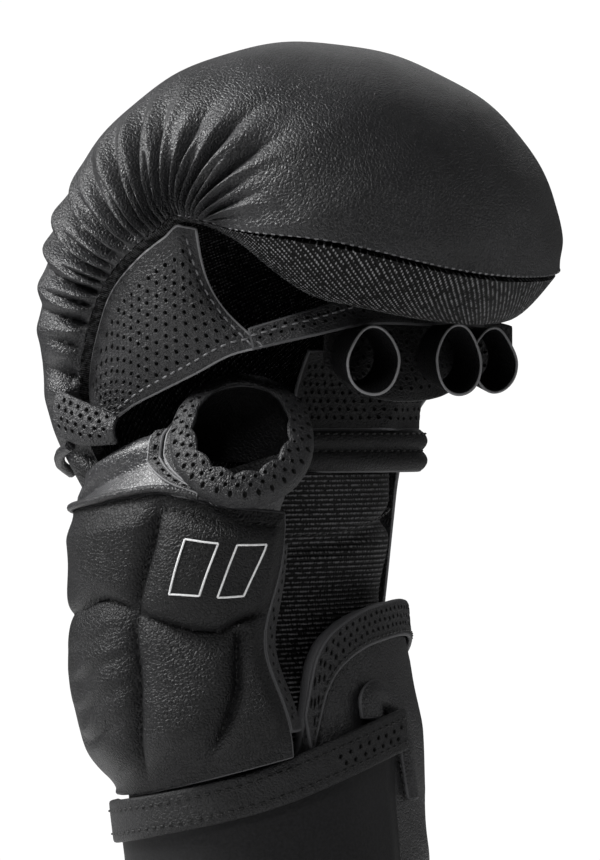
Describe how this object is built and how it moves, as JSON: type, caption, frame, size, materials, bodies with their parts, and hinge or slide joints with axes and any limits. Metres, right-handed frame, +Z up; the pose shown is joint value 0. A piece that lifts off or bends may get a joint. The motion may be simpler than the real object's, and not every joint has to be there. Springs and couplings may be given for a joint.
{
  "type": "mma sparring glove",
  "caption": "Left-hand open-finger sparring glove: thick gathered knuckle padding over a curled hand, a quilted thumb guard with a bound thumb hole, finger loops, and a cuff with a wrist strap.",
  "frame": {"origin": "bottom centre of the part's box, on the surface that the cuff's rim stands on", "axes": "+Z up from the wrist to the knuckles, +X out of the palm, -Y out of the thumb side"},
  "size_m": [0.1176, 0.1109, 0.2435],
  "materials": {
    "leather": "black grained leather, satin",
    "perforated": "black leather with rows of small punched holes",
    "woven": "black diagonal ribbed weave",
    "elastic": "black elastic with fine ribs across the hand",
    "strap": "black matte strap with fine grain"
  },
  "bodies": {
    "root": {"knuckle_pad": "leather", "pad_lining": "woven", "index_gusset": "perforated", "outer_gusset": "perforated", "finger_band": "leather", "finger_loop_1": "leather", "finger_loop_2": "leather", "finger_loop_3": "leather", "palm_panel": "perforated", "palm_hem": "leather", "palm_elastic": "elastic", "thumb_panel": "leather", "thumb_edge_strip": "perforated", "thumb_piping": "leather", "thumb_sleeve": "leather", "thumb_binding": "perforated", "web_tab": "perforated", "web_cord": "leather", "cuff": "leather", "cuff_binding": "perforated", "cuff_channel": "leather", "wrist_strap": "strap", "strap_binding": "strap"}
  },
  "joints": []
}
